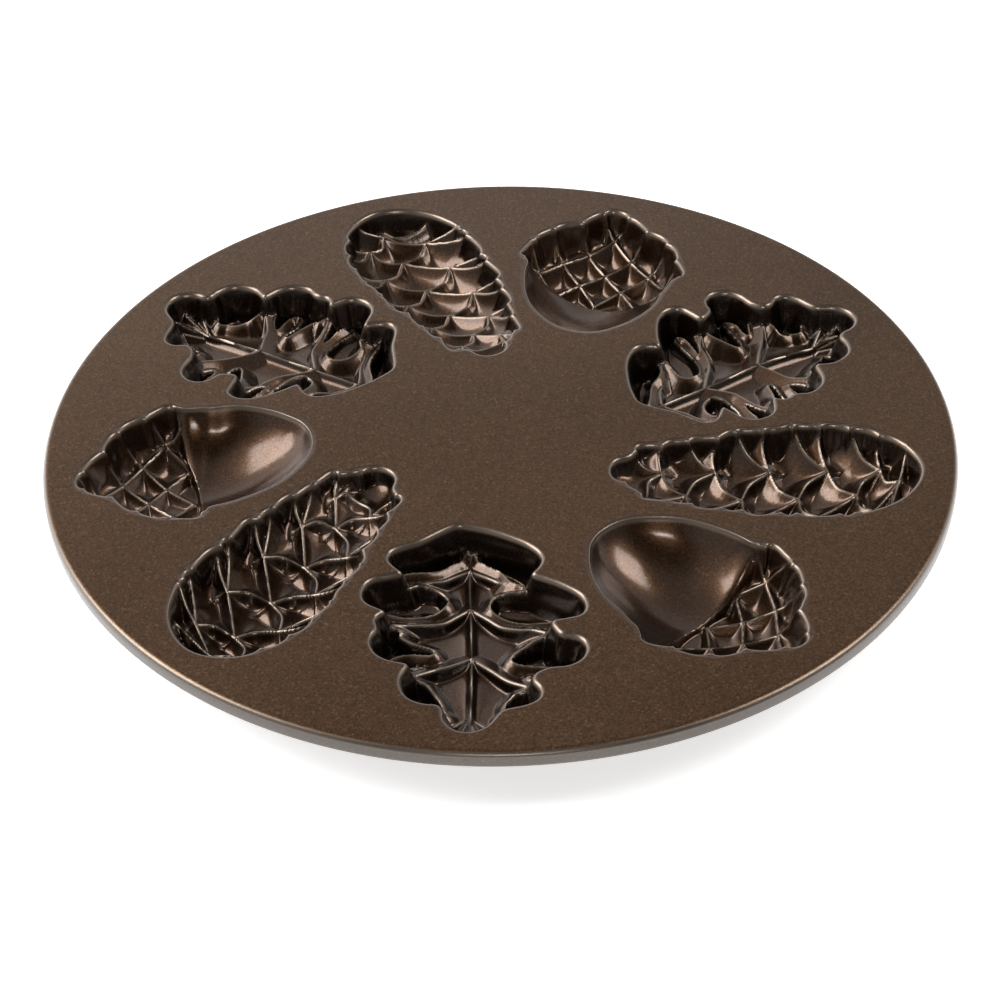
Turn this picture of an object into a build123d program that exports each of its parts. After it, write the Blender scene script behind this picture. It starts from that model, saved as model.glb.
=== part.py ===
from build123d import *
import math
import os

os.makedirs("parts", exist_ok=True)

# A round cast baking pan with nine shaped cups for small cakes: three oak
# leaves, three acorns and three pine cones. Millimetres, +Z up. The origin is
# the centre of the pan on the surface that the pan stands on.

# Driving dimensions
PAN_RADIUS = 165.0
RIM_WIDTH = 4.0
RIM_HEIGHT = 6.0
RIM_TOP_ROUND = 2.2
RIM_FOOT_ROUND = 0.9
DECK_THICKNESS = 3.0
WALL = 3.0
DECK_TOP = 25.0
DECK_UNDERSIDE = DECK_TOP - DECK_THICKNESS
LEAF_DEPTH = 14.5
CONE_DEPTH = 17.0
ACORN_DEPTH = 22.0
LEAF_RIDGE_DEPTH = 10.0
CONE_RIDGE_DEPTH = 12.5
ACORN_RIDGE_DEPTH = 16.0

# Where each cup's own centre lies on the deck, and how far it is turned.
LEAF_PLACES = {
    "leaf_cup_front": (-10.7, -104.0, 0.0),
    "leaf_cup_right": (92.4, 43.2, 120.5),
    "leaf_cup_left": (-85.2, 59.2, 239.8),
}
ACORN_PLACES = {
    "acorn_cup_front": (65.3, -87.0, 0.0),
    "acorn_cup_back": (40.2, 99.8, 120.0),
    "acorn_cup_left": (-108.6, -13.5, 240.0),
}
CONE_PLACES = {
    "cone_cup_right": (94.3, -28.0, 0.0),
    "cone_cup_back": (-23.3, 96.1, 116.3),
    "cone_cup_front": (-72.6, -67.9, 237.1),
}

# Outline of each cup's mouth at the deck, about the cup's own centre.
LEAF_OUTLINE = [
    (-3.0, 49.5), (5.0, 47.0), (13.0, 43.0), (19.0, 39.0), (23.0, 34.5),
    (24.0, 31.0), (22.5, 27.0), (20.2, 23.6), (24.0, 21.5), (30.0, 18.0),
    (36.0, 13.0), (38.0, 8.0), (36.5, 3.5), (32.0, 2.0), (26.4, 0.4),
    (27.8, -4.0), (29.6, -6.6), (33.0, -7.2), (36.0, -9.0), (37.5, -13.0),
    (35.5, -18.0), (31.0, -20.8), (25.0, -21.5), (20.2, -24.4),
    (19.6, -28.0), (22.0, -32.0), (21.0, -36.0), (17.0, -38.5),
    (13.0, -39.5), (9.0, -41.0), (7.0, -44.0), (4.0, -48.0), (-1.0, -50.0),
    (-6.0, -48.5), (-9.0, -44.0), (-9.2, -40.0), (-11.0, -37.4),
    (-15.0, -37.0), (-20.0, -34.5), (-22.5, -30.0), (-23.0, -25.0),
    (-21.4, -21.2), (-20.6, -18.6), (-27.0, -16.5), (-31.0, -13.5),
    (-33.0, -9.0), (-33.0, -5.5), (-31.4, -3.0), (-31.0, 0.0),
    (-31.8, 3.0), (-30.0, 5.4), (-27.4, 6.6), (-31.0, 8.0), (-35.0, 11.0),
    (-36.5, 15.0), (-35.5, 20.0), (-32.0, 23.0), (-27.0, 24.2),
    (-23.0, 25.6), (-25.0, 28.0), (-28.0, 32.5), (-27.5, 36.0),
    (-24.0, 38.5), (-17.0, 41.5), (-10.0, 46.5), (-6.0, 49.0),
]
ACORN_OUTLINE = [
    (-35.5, 17.0), (-35.0, 21.0), (-33.0, 25.5), (-30.0, 29.0),
    (-26.0, 32.0), (-22.0, 33.7), (-16.0, 34.8), (-10.0, 34.8),
    (-4.0, 34.0), (2.0, 32.0), (8.0, 29.0), (13.0, 26.0), (17.0, 23.0),
    (21.0, 19.4), (24.0, 19.6), (26.4, 19.8), (28.4, 18.0), (30.4, 14.0),
    (33.0, 10.4), (34.4, 7.0), (35.0, 2.0), (35.8, -1.0), (35.4, -6.0),
    (34.0, -10.0), (33.6, -13.0), (33.8, -18.0), (34.6, -23.0),
    (34.6, -27.0), (32.0, -30.2), (28.0, -32.4), (22.0, -32.8),
    (14.0, -33.0), (9.0, -34.2), (4.0, -35.2), (-2.0, -34.6),
    (-6.0, -33.2), (-10.0, -31.8), (-13.0, -30.2), (-16.0, -29.0),
    (-19.0, -27.6), (-20.6, -24.6), (-21.2, -21.0), (-24.0, -17.0),
    (-26.0, -13.0), (-30.0, -8.0), (-33.0, -2.0), (-35.0, 5.0),
    (-35.7, 11.0),
]
CONE_OUTLINE = [
    (-55.0, 2.0), (-54.3, 5.5), (-52.0, 8.0), (-48.5, 9.2), (-46.8, 11.0),
    (-46.3, 14.0), (-44.5, 16.0), (-40.0, 16.3), (-36.0, 16.8),
    (-33.0, 18.0), (-29.0, 18.3), (-25.5, 19.7), (-20.0, 19.8),
    (-15.0, 20.8), (-11.5, 22.6), (-8.5, 24.2), (-3.0, 23.4), (1.5, 24.6),
    (7.0, 23.9), (12.0, 26.4), (17.5, 25.3), (22.0, 26.2), (29.0, 25.2),
    (35.0, 23.7), (41.0, 21.2), (46.0, 18.0), (50.0, 14.0), (53.0, 9.0),
    (54.7, 4.0), (54.8, -1.0), (53.3, -6.0), (50.8, -10.5), (47.0, -15.0),
    (42.0, -19.0), (36.0, -22.0), (30.0, -24.3), (26.0, -25.3),
    (19.0, -25.0), (13.0, -25.0), (9.0, -24.3), (5.0, -24.5),
    (0.0, -23.4), (-7.0, -23.7), (-10.5, -21.9), (-17.0, -20.6),
    (-23.0, -19.6), (-27.0, -18.7), (-30.0, -16.7), (-35.0, -15.8),
    (-40.0, -14.3), (-44.5, -13.6), (-46.0, -11.2), (-46.4, -8.9),
    (-49.5, -6.5), (-52.7, -3.5), (-54.5, -1.0),
]

# Ridges that stand up from each floor, about the cup's own centre.
LEAF_RIDGES = [
    [(-0.5, 37.0), (-0.3, 17.0), (0.0, -8.0), (-0.3, -31.0), (-1.0, -46.0)],
    [(-0.5, 36.5), (-10.0, 31.5), (-17.0, 29.5), (-23.0, 25.6)],
    [(-0.5, 36.5), (5.0, 33.5), (15.0, 26.0), (20.2, 23.6)],
    [(-0.3, 17.0), (-5.0, 13.0), (-17.0, 8.5), (-27.4, 6.6)],
    [(-0.3, 17.0), (5.0, 12.0), (16.0, 5.5), (26.4, 0.4)],
    [(0.0, -8.0), (-7.0, -11.0), (-20.6, -18.6)],
    [(0.0, -8.0), (6.0, -13.0), (20.2, -24.4)],
]
ACORN_RIDGES = [
    [(-12.0, -16.0), (-12.4, -33.0)],
    [(0.0, -9.0), (0.5, -35.5)],
    [(9.0, 2.0), (12.5, -10.0), (12.6, -34.0)],
    [(20.0, 12.0), (24.5, -1.0), (25.6, -12.0), (25.6, -33.0)],
    [(14.0, 10.0), (22.0, 11.5), (34.0, 10.0)],
    [(6.0, 1.0), (25.0, -0.5), (35.0, -1.0)],
    [(-2.0, -9.5), (12.5, -9.8), (34.0, -12.0)],
    [(-17.0, -21.5), (0.0, -23.4), (12.0, -23.8), (35.0, -24.5)],
]
CONE_RIDGES = [
    [(-46.0, 14.0), (-38.0, 8.0), (-29.0, 0.0), (-19.5, -12.0), (-10.5, -22.0)],
    [(-33.0, 18.0), (-21.0, 9.0), (-10.5, 0.0), (-1.0, -13.0), (6.0, -24.0)],
    [(-15.0, 20.8), (-2.0, 11.0), (9.5, 0.0), (18.0, -12.0), (26.0, -25.0)],
    [(7.0, 24.0), (20.0, 10.0), (31.0, 0.0), (36.0, -12.0), (41.0, -19.0)],
    [(29.0, 25.0), (38.0, 12.0), (47.0, 2.0), (54.0, -3.0)],
    [(-46.0, -11.0), (-38.0, -7.0), (-29.0, 0.0), (-20.0, 9.0), (-11.0, 22.0)],
    [(-30.0, -17.0), (-20.0, -11.0), (-10.5, 0.0), (-1.0, 12.0), (6.0, 23.5)],
    [(-10.0, -22.0), (0.0, -13.0), (9.5, 0.0), (18.0, 12.0), (24.0, 25.5)],
    [(8.0, -24.3), (20.0, -12.0), (31.0, 0.0), (38.0, 10.0), (42.0, 20.5)],
    [(30.0, -24.0), (39.0, -11.0), (47.0, 2.0), (50.0, 13.5)],
]
RIDGE_WIDTH = 2.2


def smooth_loop(points, count):
    """Evenly spaced points along a closed rounded line through the points."""
    n = len(points)
    fine = []
    for i in range(n):
        p0, p1, p2, p3 = (points[(i + k - 1) % n] for k in range(4))
        for s in range(8):
            t = s / 8.0
            fine.append(tuple(
                0.5 * (2 * p1[a] + (p2[a] - p0[a]) * t
                       + (2 * p0[a] - 5 * p1[a] + 4 * p2[a] - p3[a]) * t * t
                       + (3 * p1[a] - p0[a] - 3 * p2[a] + p3[a]) * t ** 3)
                for a in range(2)))
    return even_loop(fine, count)


def even_loop(points, count):
    n = len(points)
    steps = [math.dist(points[i], points[(i + 1) % n]) for i in range(n)]
    total = sum(steps)
    out, i, run = [], 0, 0.0
    for k in range(count):
        goal = total * k / count
        while run + steps[i] < goal:
            run += steps[i]
            i += 1
        t = (goal - run) / steps[i]
        a, b = points[i], points[(i + 1) % n]
        out.append((a[0] + (b[0] - a[0]) * t, a[1] + (b[1] - a[1]) * t))
    return out


def inset_loop(points, distance):
    """The loop moved inwards by a distance, in small eased steps."""
    steps = max(1, math.ceil(abs(distance) / 0.5))
    n = len(points)
    area = sum(points[i][0] * points[(i + 1) % n][1]
               - points[(i + 1) % n][0] * points[i][1] for i in range(n))
    turn = 1.0 if area > 0 else -1.0
    out = list(points)
    for _ in range(steps):
        moved = []
        for i in range(n):
            a, b = out[i - 1], out[(i + 1) % n]
            dx, dy = b[0] - a[0], b[1] - a[1]
            size = math.hypot(dx, dy) or 1.0
            moved.append((out[i][0] - turn * dy / size * distance / steps,
                          out[i][1] + turn * dx / size * distance / steps))
        out = [
            (0.25 * moved[i - 1][0] + 0.5 * moved[i][0]
             + 0.25 * moved[(i + 1) % n][0],
             0.25 * moved[i - 1][1] + 0.5 * moved[i][1]
             + 0.25 * moved[(i + 1) % n][1])
            for i in range(n)]
    return out


def draw_loop(points, spine, share, outwards):
    """The loop drawn in towards a spine line, then moved outwards a little."""
    (ax, ay), (bx, by) = spine
    out = []
    for x, y in points:
        t = ((x - ax) * (bx - ax) + (y - ay) * (by - ay)) / (
            (bx - ax) ** 2 + (by - ay) ** 2)
        t = min(1.0, max(0.0, t))
        qx, qy = ax + (bx - ax) * t, ay + (by - ay) * t
        size = math.hypot(x - qx, y - qy)
        grow = share + outwards / size
        out.append((qx + (x - qx) * grow, qy + (y - qy) * grow))
    return out


def place_loop(points, x, y, turn):
    c, s = math.cos(math.radians(turn)), math.sin(math.radians(turn))
    return [(x + c * px - s * py, y + s * px + c * py) for px, py in points]


LEAF_LOOP = smooth_loop(LEAF_OUTLINE, 108)
ACORN_LOOP = smooth_loop(ACORN_OUTLINE, 64)
CONE_LOOP = smooth_loop(CONE_OUTLINE, 84)
ACORN_SPINE = ((-10.0, 8.0), (8.0, -8.0))
CONE_SPINE = ((-40.0, 0.0), (34.0, 0.0))

# Each cup as levels: depth below the deck's top, then how far the wall has
# drawn in there (the leaf in millimetres, the other two as a share of the
# mouth's half width).
LEAF_LEVELS = [(3.0, 0.5), (9.0, 1.6), (12.5, 3.0), (14.5, 5.0)]
CONE_LEVELS = [(3.0, 0.97), (8.0, 0.91), (12.0, 0.82), (15.0, 0.7),
               (17.0, 0.5)]
ACORN_LEVELS = [(3.0, 0.98), (9.0, 0.92), (14.0, 0.83), (18.0, 0.71),
                (20.6, 0.57), (22.0, 0.38)]

# --- Leaf cup -----------------------------------------------------------
with BuildPart() as leaf_hollow:
    for depth, inset in LEAF_LEVELS:
        with BuildSketch(Plane.XY.offset(DECK_TOP - depth)):
            with BuildLine():
                Polyline(*inset_loop(LEAF_LOOP, inset), close=True)
            make_face()
    loft(ruled=True)
    # Midrib and side veins stand up from the floor
    with BuildSketch(Plane.XY.offset(DECK_TOP - LEAF_DEPTH - 1.0)):
        for ridge in LEAF_RIDGES:
            with BuildLine():
                Polyline(*ridge)
            trace(line_width=RIDGE_WIDTH)
    extrude(amount=LEAF_DEPTH + 1.0 - LEAF_RIDGE_DEPTH, mode=Mode.SUBTRACT)

with BuildPart() as leaf_cup:
    for depth, inset in LEAF_LEVELS:
        with BuildSketch(Plane.XY.offset(DECK_TOP - depth)):
            with BuildLine():
                Polyline(*inset_loop(LEAF_LOOP, inset - WALL), close=True)
            make_face()
    with BuildSketch(Plane.XY.offset(DECK_TOP - LEAF_DEPTH - WALL)):
        with BuildLine():
            Polyline(*inset_loop(LEAF_LOOP, 3.5), close=True)
        make_face()
    loft(ruled=True)
    add(leaf_hollow.part, mode=Mode.SUBTRACT)

# --- Acorn cup ----------------------------------------------------------
with BuildPart() as acorn_hollow:
    for depth, share in ACORN_LEVELS:
        with BuildSketch(Plane.XY.offset(DECK_TOP - depth)):
            with BuildLine():
                Polyline(*draw_loop(ACORN_LOOP, ACORN_SPINE, share, 0.0),
                         close=True)
            make_face()
    loft(ruled=True)
    # Crossed ridges of the acorn's cap
    with BuildSketch(Plane.XY.offset(DECK_TOP - ACORN_DEPTH - 1.0)):
        for ridge in ACORN_RIDGES:
            with BuildLine():
                Polyline(*ridge)
            trace(line_width=RIDGE_WIDTH)
    extrude(amount=ACORN_DEPTH + 1.0 - ACORN_RIDGE_DEPTH, mode=Mode.SUBTRACT)

with BuildPart() as acorn_cup:
    for depth, share in ACORN_LEVELS:
        with BuildSketch(Plane.XY.offset(DECK_TOP - depth)):
            with BuildLine():
                Polyline(*draw_loop(ACORN_LOOP, ACORN_SPINE, share, WALL),
                         close=True)
            make_face()
    with BuildSketch(Plane.XY.offset(DECK_TOP - ACORN_DEPTH - WALL)):
        with BuildLine():
            Polyline(*draw_loop(ACORN_LOOP, ACORN_SPINE, 0.38, 0.5),
                     close=True)
        make_face()
    loft(ruled=True)
    add(acorn_hollow.part, mode=Mode.SUBTRACT)

# --- Pine cone cup ------------------------------------------------------
with BuildPart() as cone_hollow:
    for depth, share in CONE_LEVELS:
        with BuildSketch(Plane.XY.offset(DECK_TOP - depth)):
            with BuildLine():
                Polyline(*draw_loop(CONE_LOOP, CONE_SPINE, share, 0.0),
                         close=True)
            make_face()
    loft(ruled=True)
    # Net of ridges between the cone's scales
    with BuildSketch(Plane.XY.offset(DECK_TOP - CONE_DEPTH - 1.0)):
        for ridge in CONE_RIDGES:
            with BuildLine():
                Polyline(*ridge)
            trace(line_width=RIDGE_WIDTH)
    extrude(amount=CONE_DEPTH + 1.0 - CONE_RIDGE_DEPTH, mode=Mode.SUBTRACT)

with BuildPart() as cone_cup:
    for depth, share in CONE_LEVELS:
        with BuildSketch(Plane.XY.offset(DECK_TOP - depth)):
            with BuildLine():
                Polyline(*draw_loop(CONE_LOOP, CONE_SPINE, share, WALL),
                         close=True)
            make_face()
    with BuildSketch(Plane.XY.offset(DECK_TOP - CONE_DEPTH - WALL)):
        with BuildLine():
            Polyline(*draw_loop(CONE_LOOP, CONE_SPINE, 0.5, 0.5), close=True)
        make_face()
    loft(ruled=True)
    add(cone_hollow.part, mode=Mode.SUBTRACT)

# --- The nine cups in their places --------------------------------------
for places, master in ((LEAF_PLACES, leaf_cup), (ACORN_PLACES, acorn_cup),
                       (CONE_PLACES, cone_cup)):
    for name, (x, y, turn) in places.items():
        with BuildPart() as cup:
            with Locations(Location((x, y, 0), (0, 0, turn))):
                add(master.part)
        cup.part.label = name
        export_step(cup.part, f"parts/{name}.step")

# --- Deck with its nine openings ----------------------------------------
with BuildPart() as deck_plate:
    with BuildSketch(Plane.XY.offset(DECK_UNDERSIDE)):
        Circle(PAN_RADIUS - RIM_WIDTH)
    extrude(amount=DECK_THICKNESS)
    with BuildSketch(Plane.XY.offset(DECK_UNDERSIDE)):
        for places, loop in ((LEAF_PLACES, inset_loop(LEAF_LOOP, 0.5)),
                             (ACORN_PLACES, draw_loop(ACORN_LOOP, ACORN_SPINE,
                                                      0.98, 0.0)),
                             (CONE_PLACES, draw_loop(CONE_LOOP, CONE_SPINE,
                                                     0.97, 0.0))):
            for x, y, turn in places.values():
                with BuildLine():
                    Polyline(*place_loop(loop, x, y, turn), close=True)
                make_face()
    extrude(amount=DECK_THICKNESS, mode=Mode.SUBTRACT)
deck_plate.part.label = "deck_plate"
export_step(deck_plate.part, "parts/deck_plate.step")

# --- Rim band round the deck --------------------------------------------
with BuildPart() as rim_band:
    with BuildSketch(Plane.XZ):
        with Locations((PAN_RADIUS - RIM_WIDTH / 2, DECK_TOP - RIM_HEIGHT / 2)):
            Rectangle(RIM_WIDTH, RIM_HEIGHT)
    revolve(axis=Axis.Z)
    outer = rim_band.edges().filter_by(GeomType.CIRCLE).filter_by(
        lambda edge: edge.radius > PAN_RADIUS - 0.01)
    fillet(outer.sort_by(Axis.Z)[-1], radius=RIM_TOP_ROUND)
    outer = rim_band.edges().filter_by(GeomType.CIRCLE).filter_by(
        lambda edge: edge.radius > PAN_RADIUS - 0.01)
    fillet(outer.sort_by(Axis.Z)[0], radius=RIM_FOOT_ROUND)
rim_band.part.label = "rim_band"
export_step(rim_band.part, "parts/rim_band.step")
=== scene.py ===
import math

import bpy
import numpy as np
from mathutils import Matrix, Vector
from mathutils.geometry import delaunay_2d_cdt


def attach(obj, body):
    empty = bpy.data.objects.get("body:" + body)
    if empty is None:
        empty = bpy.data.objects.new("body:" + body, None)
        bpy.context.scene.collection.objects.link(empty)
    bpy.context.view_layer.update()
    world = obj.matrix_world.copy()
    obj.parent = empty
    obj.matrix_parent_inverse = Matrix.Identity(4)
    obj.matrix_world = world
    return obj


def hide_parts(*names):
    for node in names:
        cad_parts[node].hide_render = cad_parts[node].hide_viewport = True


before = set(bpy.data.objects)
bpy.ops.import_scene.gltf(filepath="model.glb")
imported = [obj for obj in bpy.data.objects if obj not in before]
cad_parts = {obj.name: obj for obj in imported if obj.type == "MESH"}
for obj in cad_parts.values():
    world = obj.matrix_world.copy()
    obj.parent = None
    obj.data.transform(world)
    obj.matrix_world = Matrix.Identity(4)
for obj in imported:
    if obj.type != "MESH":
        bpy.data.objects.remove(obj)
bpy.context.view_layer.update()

# A round cast baking pan with nine shaped cups. All shapes are worked out in
# millimetres with the deck's top at height 0, and are put into the frame's
# metres when their meshes are made.
DECK_TOP = 25.0
DECK_THICK = 3.0
RIM_IN = 161.0
RIM_OUT = 165.0
SEAM = 1.6             # the cup's flat collar reaches this far past its mouth

# ------------------------------------------------------------------ outlines
LEAF_PLACES = {
    "leaf_cup_front": (-10.7, -104.0, 0.0),
    "leaf_cup_right": (92.4, 43.2, 120.5),
    "leaf_cup_left": (-85.2, 59.2, 239.8),
}
ACORN_PLACES = {
    "acorn_cup_front": (65.3, -87.0, 0.0),
    "acorn_cup_back": (40.2, 99.8, 120.0),
    "acorn_cup_left": (-108.6, -13.5, 240.0),
}
CONE_PLACES = {
    "cone_cup_right": (94.3, -28.0, 0.0),
    "cone_cup_back": (-23.3, 96.1, 116.3),
    "cone_cup_front": (-72.6, -67.9, 237.1),
}
LEAF_OUTLINE = [
    (-3.0, 49.5), (5.0, 47.0), (13.0, 43.0), (19.0, 39.0), (23.0, 34.5),
    (24.0, 31.0), (22.5, 27.0), (20.2, 23.6), (24.0, 21.5), (30.0, 18.0),
    (36.0, 13.0), (38.0, 8.0), (36.5, 3.5), (32.0, 2.0), (26.4, 0.4),
    (27.8, -4.0), (29.6, -6.6), (33.0, -7.2), (36.0, -9.0), (37.5, -13.0),
    (35.5, -18.0), (31.0, -20.8), (25.0, -21.5), (20.2, -24.4),
    (19.6, -28.0), (22.0, -32.0), (21.0, -36.0), (17.0, -38.5),
    (13.0, -39.5), (9.0, -41.0), (7.0, -44.0), (4.0, -48.0), (-1.0, -50.0),
    (-6.0, -48.5), (-9.0, -44.0), (-9.2, -40.0), (-11.0, -37.4),
    (-15.0, -37.0), (-20.0, -34.5), (-22.5, -30.0), (-23.0, -25.0),
    (-21.4, -21.2), (-20.6, -18.6), (-27.0, -16.5), (-31.0, -13.5),
    (-33.0, -9.0), (-33.0, -5.5), (-31.4, -3.0), (-31.0, 0.0),
    (-31.9, 2.2), (-31.0, 4.6), (-28.4, 6.7), (-31.6, 8.9), (-35.0, 11.4),
    (-36.5, 15.0), (-35.5, 20.0), (-32.0, 23.0), (-27.0, 24.2),
    (-23.0, 25.6), (-25.4, 28.6), (-28.0, 32.5), (-27.5, 36.0),
    (-24.0, 38.5), (-17.0, 41.5), (-10.0, 46.5), (-6.0, 49.0),
]
ACORN_OUTLINE = [
    (-35.5, 17.0), (-35.0, 21.0), (-33.0, 25.5), (-30.0, 29.0),
    (-26.0, 32.0), (-22.0, 33.7), (-16.0, 34.8), (-10.0, 34.8),
    (-4.0, 34.0), (2.0, 32.0), (8.0, 29.0), (13.0, 26.0), (17.0, 23.0),
    (21.0, 19.4), (24.0, 19.6), (26.4, 19.8), (28.4, 18.0), (30.4, 14.0),
    (33.0, 10.4), (34.4, 7.0), (35.0, 2.0), (35.8, -1.0), (35.4, -6.0),
    (34.0, -10.0), (33.6, -13.0), (33.8, -18.0), (34.6, -23.0),
    (34.6, -27.0), (32.0, -30.2), (28.0, -32.4), (22.0, -32.8),
    (14.0, -33.0), (9.0, -34.2), (4.0, -35.2), (-2.0, -34.6),
    (-6.0, -33.2), (-10.0, -31.8), (-13.0, -30.2), (-16.0, -29.0),
    (-19.0, -27.6), (-20.6, -24.6), (-21.2, -21.0), (-24.0, -17.0),
    (-26.0, -13.0), (-30.0, -8.0), (-33.0, -2.0), (-35.0, 5.0),
    (-35.7, 11.0),
]
CONE_OUTLINE = [
    (-55.0, 2.0), (-54.3, 5.5), (-52.0, 8.0), (-48.5, 9.2), (-46.8, 11.0),
    (-46.3, 14.0), (-44.5, 16.0), (-40.0, 16.3), (-36.0, 16.8),
    (-33.0, 18.0), (-29.0, 18.3), (-25.5, 19.7), (-20.0, 19.8),
    (-15.0, 20.8), (-11.5, 22.6), (-8.5, 24.2), (-3.0, 23.4), (1.5, 24.6),
    (7.0, 23.9), (12.0, 26.4), (17.5, 25.3), (22.0, 26.2), (29.0, 25.2),
    (35.0, 23.7), (41.0, 21.2), (46.0, 18.0), (50.0, 14.0), (53.0, 9.0),
    (54.7, 4.0), (54.8, -1.0), (53.3, -6.0), (50.8, -10.5), (47.0, -15.0),
    (42.0, -19.0), (36.0, -22.0), (30.0, -24.3), (26.0, -25.3),
    (19.0, -25.0), (13.0, -25.0), (9.0, -24.3), (5.0, -24.5),
    (0.0, -23.4), (-7.0, -23.7), (-10.5, -21.9), (-17.0, -20.6),
    (-23.0, -19.6), (-27.0, -18.7), (-30.0, -16.7), (-35.0, -15.8),
    (-40.0, -14.3), (-44.5, -13.6), (-46.0, -11.2), (-46.4, -8.9),
    (-49.5, -6.5), (-52.7, -3.5), (-54.5, -1.0),
]


def smooth_line(points, closed=True, sub=12):
    p = np.array(points, float)
    n = len(p)
    if closed:
        idx = np.arange(n)
        p0, p1, p2, p3 = p[idx - 1], p, p[(idx + 1) % n], p[(idx + 2) % n]
    else:
        q = np.vstack([2 * p[0] - p[1], p, 2 * p[-1] - p[-2]])
        p0, p1, p2, p3 = q[:-3], q[1:-2], q[2:-1], q[3:]
    t = (np.arange(sub) / sub)[None, :, None]
    a, b, c, d = (v[:, None, :] for v in (p0, p1, p2, p3))
    out = 0.5 * (2 * b + (c - a) * t + (2 * a - 5 * b + 4 * c - d) * t ** 2
                 + (3 * b - a - 3 * c + d) * t ** 3)
    out = out.reshape(-1, p.shape[1])
    return out if closed else np.vstack([out, p[-1]])


def even_loop(p, count):
    q = np.vstack([p, p[:1]])
    run = np.concatenate([[0], np.cumsum(np.hypot(*np.diff(q, axis=0).T))])
    goal = np.arange(count) * run[-1] / count
    return np.stack([np.interp(goal, run, q[:, 0]),
                     np.interp(goal, run, q[:, 1])], 1)


def ease(p, times):
    for _ in range(times):
        p = 0.25 * np.roll(p, 1, 0) + 0.5 * p + 0.25 * np.roll(p, -1, 0)
    return p


def clockwise(p):
    x, y = p.T
    return np.sum(x * np.roll(y, -1) - np.roll(x, -1) * y) < 0


def rings(loop, offsets, step=0.09):
    """Copies of a loop moved inwards (outwards where negative), in small
    eased steps, so that neighbouring rings keep their points in line."""
    turn = -1.0 if clockwise(loop) else 1.0
    out = {}
    for side in (1, -1):
        goals = sorted({abs(o) for o in offsets if o * side > 0})
        cur, done = loop.copy(), 0.0
        for goal in goals:
            n = max(1, math.ceil((goal - done) / step))
            move = (goal - done) / n
            for _ in range(n):
                d = np.roll(cur, -1, 0) - np.roll(cur, 1, 0)
                d /= np.maximum(np.hypot(*d.T), 1e-9)[:, None]
                nrm = np.stack([-d[:, 1], d[:, 0]], 1) * turn
                cur = cur + nrm * move * side
                # ease only where the points are being squeezed together
                for _ in range(3):
                    edge = np.hypot(*(np.roll(cur, -1, 0) - cur).T)
                    near = (edge + np.roll(edge, 1)) / 2
                    tight = np.clip((0.92 - near / edge.mean()) / 0.35, 0, 1)
                    tight = np.maximum(tight, 0.5 * (np.roll(tight, 1) + np.roll(tight, -1)))
                    w = (0.015 + 0.235 * tight)[:, None]
                    cur = w * np.roll(cur, 1, 0) + (1 - 2 * w) * cur + w * np.roll(cur, -1, 0)
            done = goal
            out[side * goal] = cur.copy()
    out[0.0] = loop.copy()
    return [out[o] for o in offsets]


def seg_dist(P, line, closed=False):
    """Distance to a polyline, with the nearest point's place along it and the
    side that the point lies on."""
    A = line if closed else line[:-1]
    B = np.roll(line, -1, 0) if closed else line[1:]
    AB = B - A
    L2 = np.maximum((AB ** 2).sum(1), 1e-12)
    best = np.full(len(P), 1e9)
    where = np.zeros(len(P))
    side = np.zeros(len(P))
    for i0 in range(0, len(P), 4000):
        Q = P[i0:i0 + 4000]
        AQ = Q[:, None, :] - A[None]
        t = np.clip((AQ * AB[None]).sum(2) / L2[None], 0, 1)
        d = AQ - t[..., None] * AB[None]
        dist = np.hypot(d[..., 0], d[..., 1])
        j = dist.argmin(1)
        k = np.arange(len(Q))
        best[i0:i0 + 4000] = dist[k, j]
        where[i0:i0 + 4000] = j + t[k, j]
        side[i0:i0 + 4000] = np.sign(AB[j, 0] * AQ[k, j, 1]
                                     - AB[j, 1] * AQ[k, j, 0])
    return best, where, side


def inside(P, loop):
    x, y = P[:, 0], P[:, 1]
    res = np.zeros(len(P), bool)
    a = loop
    b = np.roll(loop, -1, 0)
    for i0 in range(0, len(P), 8000):
        X, Y = x[i0:i0 + 8000, None], y[i0:i0 + 8000, None]
        cross = (a[None, :, 1] > Y) != (b[None, :, 1] > Y)
        with np.errstate(divide="ignore", invalid="ignore"):
            xi = (b[None, :, 0] - a[None, :, 0]) * (Y - a[None, :, 1]) / (
                b[None, :, 1] - a[None, :, 1]) + a[None, :, 0]
        res[i0:i0 + 8000] = (cross & (X < xi)).sum(1) % 2 == 1
    return res


def signed(P, loop):
    if len(loop) > 300:
        # coarse first, then exact near the line
        d = seg_dist(P, loop[::5], closed=True)[0]
        near = d < 4.0
        d[near] = seg_dist(P[near], loop, closed=True)[0]
    else:
        d = seg_dist(P, loop, closed=True)[0]
    return np.where(inside(P, loop), d, -d)


def smax(a, b, r):
    h = np.clip(0.5 + 0.5 * (a - b) / r, 0, 1)
    return b + (a - b) * h + r * h * (1 - h)


def smin(a, b, r):
    return -smax(-a, -b, r)


def smooth(x):
    x = np.clip(x, 0, 1)
    return x * x * (3 - 2 * x)


def rounded(dist, r):
    """A distance to a crest that starts flat, so that the crest is rounded."""
    return np.sqrt(dist * dist + r * r) - r


def wall(d, slope, soft):
    """Height of the lip and wall at a distance inside the mouth."""
    return -slope * soft * np.log1p(np.exp(np.clip(d / soft, -60, 60)))


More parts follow.
